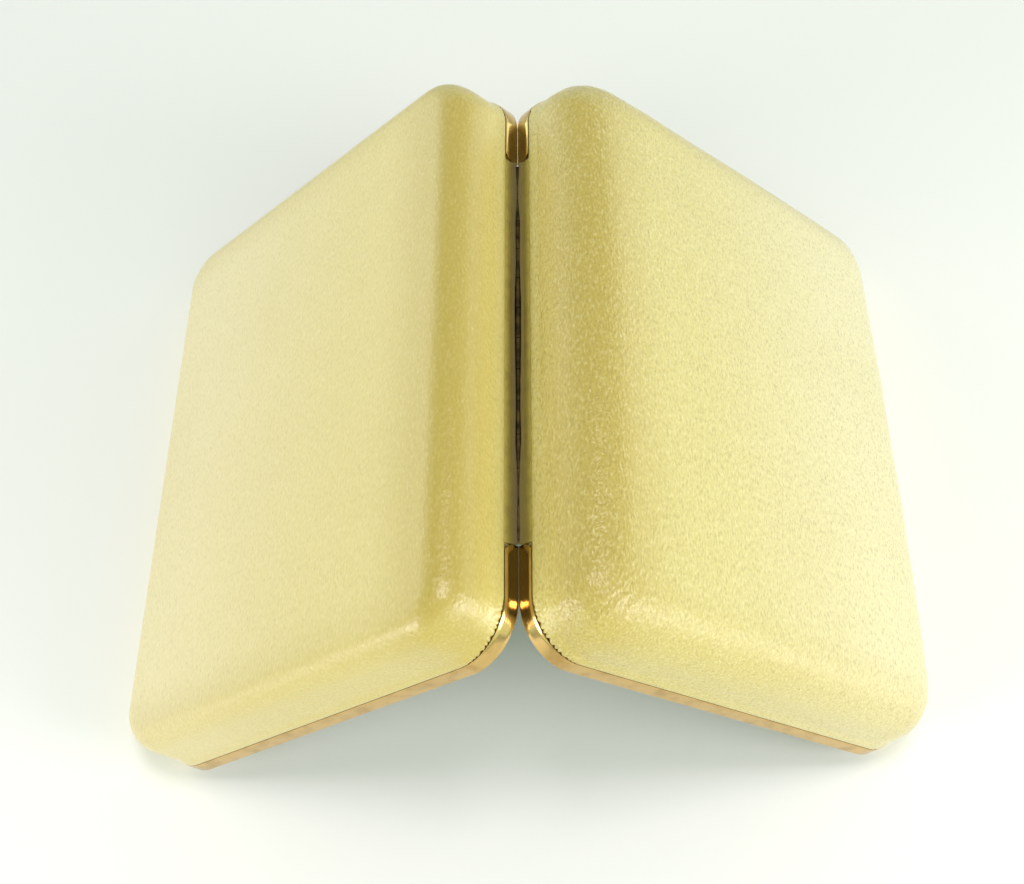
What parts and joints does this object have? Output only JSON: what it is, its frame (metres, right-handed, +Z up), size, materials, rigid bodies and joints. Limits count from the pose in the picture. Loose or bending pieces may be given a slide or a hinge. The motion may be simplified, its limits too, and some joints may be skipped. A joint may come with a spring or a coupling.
{
  "type": "hinged case",
  "caption": "Flat hinged case in two leatherette-covered halves with gilt rims, lined and padded inside, with a push-button catch; stands open like a tent.",
  "frame": {"origin": "on the floor straight below the hinge axis, at the middle of the case's length, with the case standing open on its front rims", "axes": "+Z up, +Y along the hinge, +X from the hinge towards the lid"},
  "size_m": [0.1905, 0.15, 0.0871],
  "materials": {
    "leatherette": "cream grained leatherette, semi-gloss",
    "shell_sheet": "lacquered pressed sheet",
    "lining": "pale green ribbed satin over card",
    "padding": "sage short-pile velvet over padding",
    "gilt": "polished gilt, a little tarnished",
    "hinge_metal": "darkened brass",
    "rivet_metal": "dull brass",
    "catch_steel": "plated spring steel"
  },
  "bodies": {
    "base": {"base_cover": "leatherette", "base_welt": "leatherette", "base_shell": "shell_sheet", "base_liner": "lining", "base_pad": "padding", "base_rim": "gilt", "catch_bush": "gilt", "hinge_base_leaf": "hinge_metal", "hinge_pin": "hinge_metal", "hinge_base_rivets": "rivet_metal", "catch_housing_rivets": "rivet_metal", "catch_spring": "catch_steel", "catch_housing": "catch_steel"},
    "lid": {"lid_cover": "leatherette", "lid_welt": "leatherette", "lid_shell": "shell_sheet", "lid_liner": "lining", "lid_pad": "padding", "lid_rim": "gilt", "hinge_lid_leaf": "hinge_metal", "hinge_lid_rivets": "rivet_metal", "catch_hook": "catch_steel", "catch_hook_rivets": "rivet_metal"},
    "catch_button": {"catch_button": "gilt", "catch_latch": "catch_steel"}
  },
  "joints": [
    {"name": "lid_hinge", "type": "hinge", "parent": "base", "child": "lid", "pos_m": [0, 0, 0.07637], "axis": [0, 1, 0], "range_deg": [0, 97.1]},
    {"name": "catch_press", "type": "slide", "parent": "base", "child": "catch_button", "axis": [0.7939, 0, 0.6081], "range_m": [0, 0.0015], "stiffness_N_per_m": 1200, "springref_m": -0.001, "deforming": ["catch_spring"]}
  ]
}
